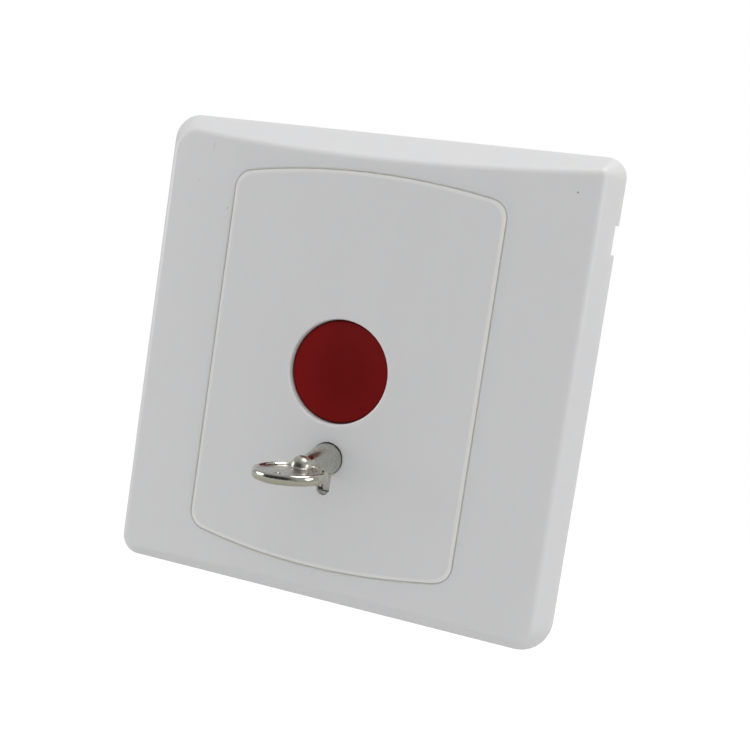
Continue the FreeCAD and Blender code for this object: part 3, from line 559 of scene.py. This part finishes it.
# Sizes in millimetres, along the key from the plate's back edge outwards, and angles in degrees. Outlines are
# (radius, height) points.
key_axis_mm = Vector((0.5, 0.0, -15.4))
key_shank_r_mm = 2.8
key_neck_r_mm = 1.55
key_taper_mm = (9.5, 19.0)
key_tip_mm = [(0.0, 3.0), (2.5, 3.0), (key_shank_r_mm, 3.3)]
key_ball_r_mm = 1.95
key_ball_out_mm = 20.2
key_bit_mm = {"width": 1.8, "reach": 5.9, "front": 7.7, "back": 5.2}
key_head_r_mm = 6.28
key_rim_mm = [(5.20, 0.52), (5.38, 0.60), (5.48, 0.82), (5.65, 0.90), (5.95, 0.86), (6.20, 0.60),
              (key_head_r_mm, 0.25)]
key_head_out_mm = 4.55
key_head_drop_mm = 0.5
key_head_droop = 1.0
key_gate_mm = Vector((-0.75, -3.5, 0.52))
key_gate_size_mm = (0.58, 0.46, 0.31)
key_sag = 1.2
key_sag_out_mm = 6.0
key_turn = -3.0
key_voxel_mm = 0.10
key_smoothing = 8
key_turned_mm = (3.5, 18.0)
key_uneven_from_mm = 17.5
key_uneven_over_mm = 1.5
key_unevenness_mm = 0.035
key_lump_mm = 1.5

# Where each finish runs from and to, along the plate's axes or round the head, and how much it adds to the
# roughness.
frost_mm = (-18.6, -17.4)
hidden_mm = (-8.9, -8.3)
bit_from_mm = (-18.6, -18.3)
dish_r_mm = 5.35
dish_top_mm = 0.62
wall_r_mm = 5.7
wall_height_mm = (-0.45, 0.35)
wall_out_mm = (-20.5, -18.5)
frost_roughness = 0.16
hidden_roughness = 0.30
ball_roughness = 0.18
ball_skin_mm = 0.08
dish_roughness = 0.10
bit_dullness = 0.65


def turned(form, outline, place, sides=96):
    """Turns an outline of (radius, height) points round an axis, and puts the solid at its place."""
    rings = []
    for radius, height in outline:
        ring = []
        for i in range(sides if radius else 1):
            turn = 2 * math.pi * i / sides
            point = Vector((radius * math.cos(turn), radius * math.sin(turn), height))
            ring.append(form.verts.new(place @ point))
        rings.append(ring)
    for one, other in zip(rings, rings[1:]):
        for i in range(sides):
            near, far = i, (i + 1) % sides
            corners = [one[near % len(one)], one[far % len(one)]]
            corners += [other[far % len(other)], other[near % len(other)]]
            form.faces.new(list(dict.fromkeys(corners)))


def about(centre, angle, axis):
    """A turn of some degrees about an axis through a point."""
    turn = Matrix.Rotation(math.radians(angle), 4, axis)
    return Matrix.Translation(centre) @ turn @ Matrix.Translation(-centre)


def vector_node(tree, operation, one, other=None):
    """A Vector Math node on a socket and a fixed vector."""
    node = add_node(tree, "ShaderNodeVectorMath", {"operation": operation})
    tree.links.new(one, node.inputs[0])
    if other is not None:
        node.inputs[1].default_value = other
    return node


# Where its pieces stand, in millimetres: straight out of the keyhole, before the sag and the turn.
outward = Matrix.Translation(key_axis_mm) @ Matrix.Rotation(math.radians(90), 4, "X")
ball_mm = outward @ Vector((0, 0, key_ball_out_mm))
head_middle = ball_mm - Vector((0, key_head_out_mm, key_head_drop_mm))
head_place = about(ball_mm, key_head_droop, "X") @ Matrix.Translation(head_middle)
gate_place = head_place @ Matrix.Translation(key_gate_mm) @ Matrix.Diagonal((*key_gate_size_mm, 1.0))
bit_middle = Vector((0, -(key_bit_mm["front"] + key_bit_mm["back"]) / 2, -key_bit_mm["reach"] / 2))
bit_size = Vector((key_bit_mm["width"], key_bit_mm["front"] - key_bit_mm["back"], key_bit_mm["reach"]))
bit_place = Matrix.Translation(key_axis_mm + bit_middle) @ Matrix.Diagonal((*bit_size, 1.0))
sag_centre = key_axis_mm - Vector((0, key_sag_out_mm, 0))
key_place = about(key_axis_mm, key_turn, "Y") @ about(sag_centre, key_sag, "X")
shank_outline = key_tip_mm + [(key_shank_r_mm, key_taper_mm[0]), (key_neck_r_mm, key_taper_mm[1])]
shank_outline += [(0.0, key_taper_mm[1])]
lower_rim = [(radius, -height) for radius, height in reversed(key_rim_mm)]
dish_floor = key_rim_mm[0][1]
head_outline = [(0.0, dish_floor)] + key_rim_mm + lower_rim + [(0.0, -dish_floor)]

casting = bmesh.new()
turned(casting, shank_outline, outward)
bmesh.ops.create_uvsphere(
    casting, u_segments=64, v_segments=40, radius=key_ball_r_mm, matrix=Matrix.Translation(ball_mm))
turned(casting, head_outline, head_place, 128)
bmesh.ops.create_uvsphere(casting, u_segments=24, v_segments=16, radius=1.0, matrix=gate_place)
bmesh.ops.create_cube(casting, size=1.0, matrix=bit_place)
bmesh.ops.recalc_face_normals(casting, faces=casting.faces)
casting.transform(Matrix.Scale(0.001, 4) @ key_place)
key_mesh = bpy.data.meshes.new("key_casting")
casting.to_mesh(key_mesh)
casting.free()

# The pieces are run together, and every inner corner is filled a little, as in a casting.
rough_key = bpy.data.objects.new("key_casting", key_mesh)
scene.collection.objects.link(rough_key)
joined = rough_key.modifiers.new("joined", "REMESH")
joined.mode = "VOXEL"
joined.voxel_size = key_voxel_mm / 1000
softened = rough_key.modifiers.new("softened", "SMOOTH")
softened.factor = 0.5
softened.iterations = key_smoothing
cast_form = rough_key.evaluated_get(bpy.context.evaluated_depsgraph_get())
key_mesh = bpy.data.meshes.new_from_object(cast_form)
bpy.data.objects.remove(rough_key)

# The shank and the ball are brought back to true round, and the ball end keeps a tumbled unevenness.
shank_taper = (key_shank_r_mm - key_neck_r_mm) / (key_taper_mm[1] - key_taper_mm[0])
to_key = key_place.inverted()
for corner in key_mesh.vertices:
    place = to_key @ (corner.co * 1000)
    from_axis = Vector((place.x - key_axis_mm.x, 0, place.z - key_axis_mm.z))
    true_r = key_shank_r_mm - shank_taper * max(0.0, -place.y - key_taper_mm[0])
    on_shank = key_turned_mm[0] < -place.y < key_turned_mm[1]
    if on_shank and abs(from_axis.length - true_r) < key_voxel_mm / 2:
        place += from_axis * (true_r / from_axis.length - 1)
    from_ball = place - ball_mm
    if abs(from_ball.length - key_ball_r_mm) < key_voxel_mm / 3:
        place = ball_mm + from_ball * (key_ball_r_mm / from_ball.length)
    corner.co = key_place @ place / 1000
key_mesh.update()
normals = [corner.normal.copy() for corner in key_mesh.vertices]
for corner, normal in zip(key_mesh.vertices, normals):
    part_way = (-corner.co.y * 1000 - key_uneven_from_mm) / key_uneven_over_mm
    outside = max(0.0, min(1.0, part_way))
    lump = noise.noise(corner.co * (1000 / key_lump_mm))
    corner.co += normal * (lump * outside * key_unevenness_mm / 1000)
for face in key_mesh.polygons:
    face.use_smooth = True
key = bpy.data.objects.new("key_casting", key_mesh)
scene.collection.objects.link(key)

# Finish of each part of the key, from where it lies along the key and round the head.
bright_nickel, tree, shader = plated_metal(
    "bright_nickel", nickel_colour, 0.10, cloud=0.9, depth=0.005, tint=nickel_tint)
axes = add_node(tree, "ShaderNodeSeparateXYZ")
tree.links.new(millimetres(tree), axes.inputs[0])
head_pose = key_place @ head_place
frosted = ramp(tree, axes.outputs["Y"], *frost_mm)
hidden = ramp(tree, axes.outputs["Y"], *hidden_mm)
on_bit = maths(tree, "MULTIPLY", hidden, ramp(tree, axes.outputs["Z"], *bit_from_mm, 1.0, 0.0))
from_ball = vector_node(tree, "DISTANCE", millimetres(tree), key_place @ ball_mm)
on_ball = maths(tree, "LESS_THAN", from_ball.outputs["Value"], key_ball_r_mm + ball_skin_mm)
from_head = vector_node(tree, "SUBTRACT", millimetres(tree), head_pose.to_translation())
across = vector_node(tree, "LENGTH", from_head.outputs["Vector"]).outputs["Value"]
upward = head_pose.to_3x3() @ Vector((0, 0, 1))
over_head = vector_node(tree, "DOT_PRODUCT", from_head.outputs["Vector"], upward).outputs["Value"]
below_top = maths(tree, "LESS_THAN", over_head, dish_top_mm)
in_dish = maths(tree, "MULTIPLY", below_top, maths(tree, "LESS_THAN", across, dish_r_mm))
on_wall = maths(tree, "GREATER_THAN", across, wall_r_mm)
on_wall = maths(tree, "MULTIPLY", on_wall, ramp(tree, over_head, *wall_height_mm, 1.0, 0.0))
on_wall = maths(tree, "MULTIPLY", on_wall, ramp(tree, axes.outputs["Y"], *wall_out_mm, 1.0, 0.0))

gloss = shader.inputs["Roughness"].links[0].from_socket
gloss = maths(tree, "MULTIPLY_ADD", frosted, frost_roughness, gloss)
gloss = maths(tree, "MULTIPLY_ADD", hidden, hidden_roughness, gloss)
gloss = maths(tree, "MULTIPLY_ADD", on_ball, ball_roughness, gloss)
gloss = maths(tree, "MULTIPLY_ADD", in_dish, dish_roughness, gloss)
tree.links.new(gloss, shader.inputs["Roughness"])
tree.links.new(maths(tree, "MULTIPLY_ADD", on_bit, -bit_dullness, 1.0), shader.inputs["Metallic"])
shade_by(tree, shader, maths(tree, "SUBTRACT", frosted, hidden, clamp=True), frost_tint)
shade_by(tree, shader, in_dish, dish_tint)
shade_by(tree, shader, on_wall, wall_tint)
shade_by(tree, shader, on_bit, bit_colour, "MIX")
key_mesh.materials.append(bright_nickel)
dress(bright_nickel, "reset_key")
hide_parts("reset_key")
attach(key, "key")


# Cover frame
# Outer frame of the plate, snapped on last. It has the same satin as the panel, a few dark specks from the
# mould, and one short crease near its upper left corner.

frame_colour = (0.798, 0.80, 0.806)
frame_roughness = 0.36
frame_seam_shade_colour = (0.72, 0.71, 0.67)
frame_seam_shade_mm = 0.45
speck_tint = (0.42, 0.40, 0.38)
crease_tint = (0.76, 0.75, 0.73)
faint_tint = (0.91, 0.90, 0.88)
mark_edge = (0.2, 1.3)

# Each mark's place across and up the plate, its half width and half height in millimetres, and its tint.
frame_marks_mm = [
    (36.35, 36.10, 0.19, 0.17, speck_tint),
    (-26.57, 25.92, 0.16, 0.38, crease_tint),
    (-31.31, 36.86, 0.20, 0.95, faint_tint),
    (-33.77, 30.38, 0.25, 0.25, faint_tint),
    (-39.35, 35.34, 0.25, 0.25, faint_tint),
]

frame_white, tree, shader = moulded_plastic(
    "frame_white", frame_colour, frame_roughness, grain=0.35, depth=0.002, tone=0.01, glow=0.6, glow_mm=1.0)
axes = add_node(tree, "ShaderNodeSeparateXYZ")
tree.links.new(millimetres(tree), axes.inputs[0])
for x, z, half_width, half_height, tint in frame_marks_mm:
    sideways = maths(tree, "DIVIDE", maths(tree, "SUBTRACT", axes.outputs["X"], x), half_width)
    upward = maths(tree, "DIVIDE", maths(tree, "SUBTRACT", axes.outputs["Z"], z), half_height)
    away = maths(tree, "ADD", maths(tree, "POWER", sideways, 2.0), maths(tree, "POWER", upward, 2.0))
    shade_by(tree, shader, ramp(tree, away, *mark_edge, 1.0, 0.0), tint)
# Painted shade: a darker beige band on the frame along its edge at the joint.
edge = place_group(tree, joint_edge, Reach=frame_seam_shade_mm)
shade_by(tree, shader, edge.outputs["Mask"], frame_seam_shade_colour, "MIX")
dress(frame_white, "cover_frame")
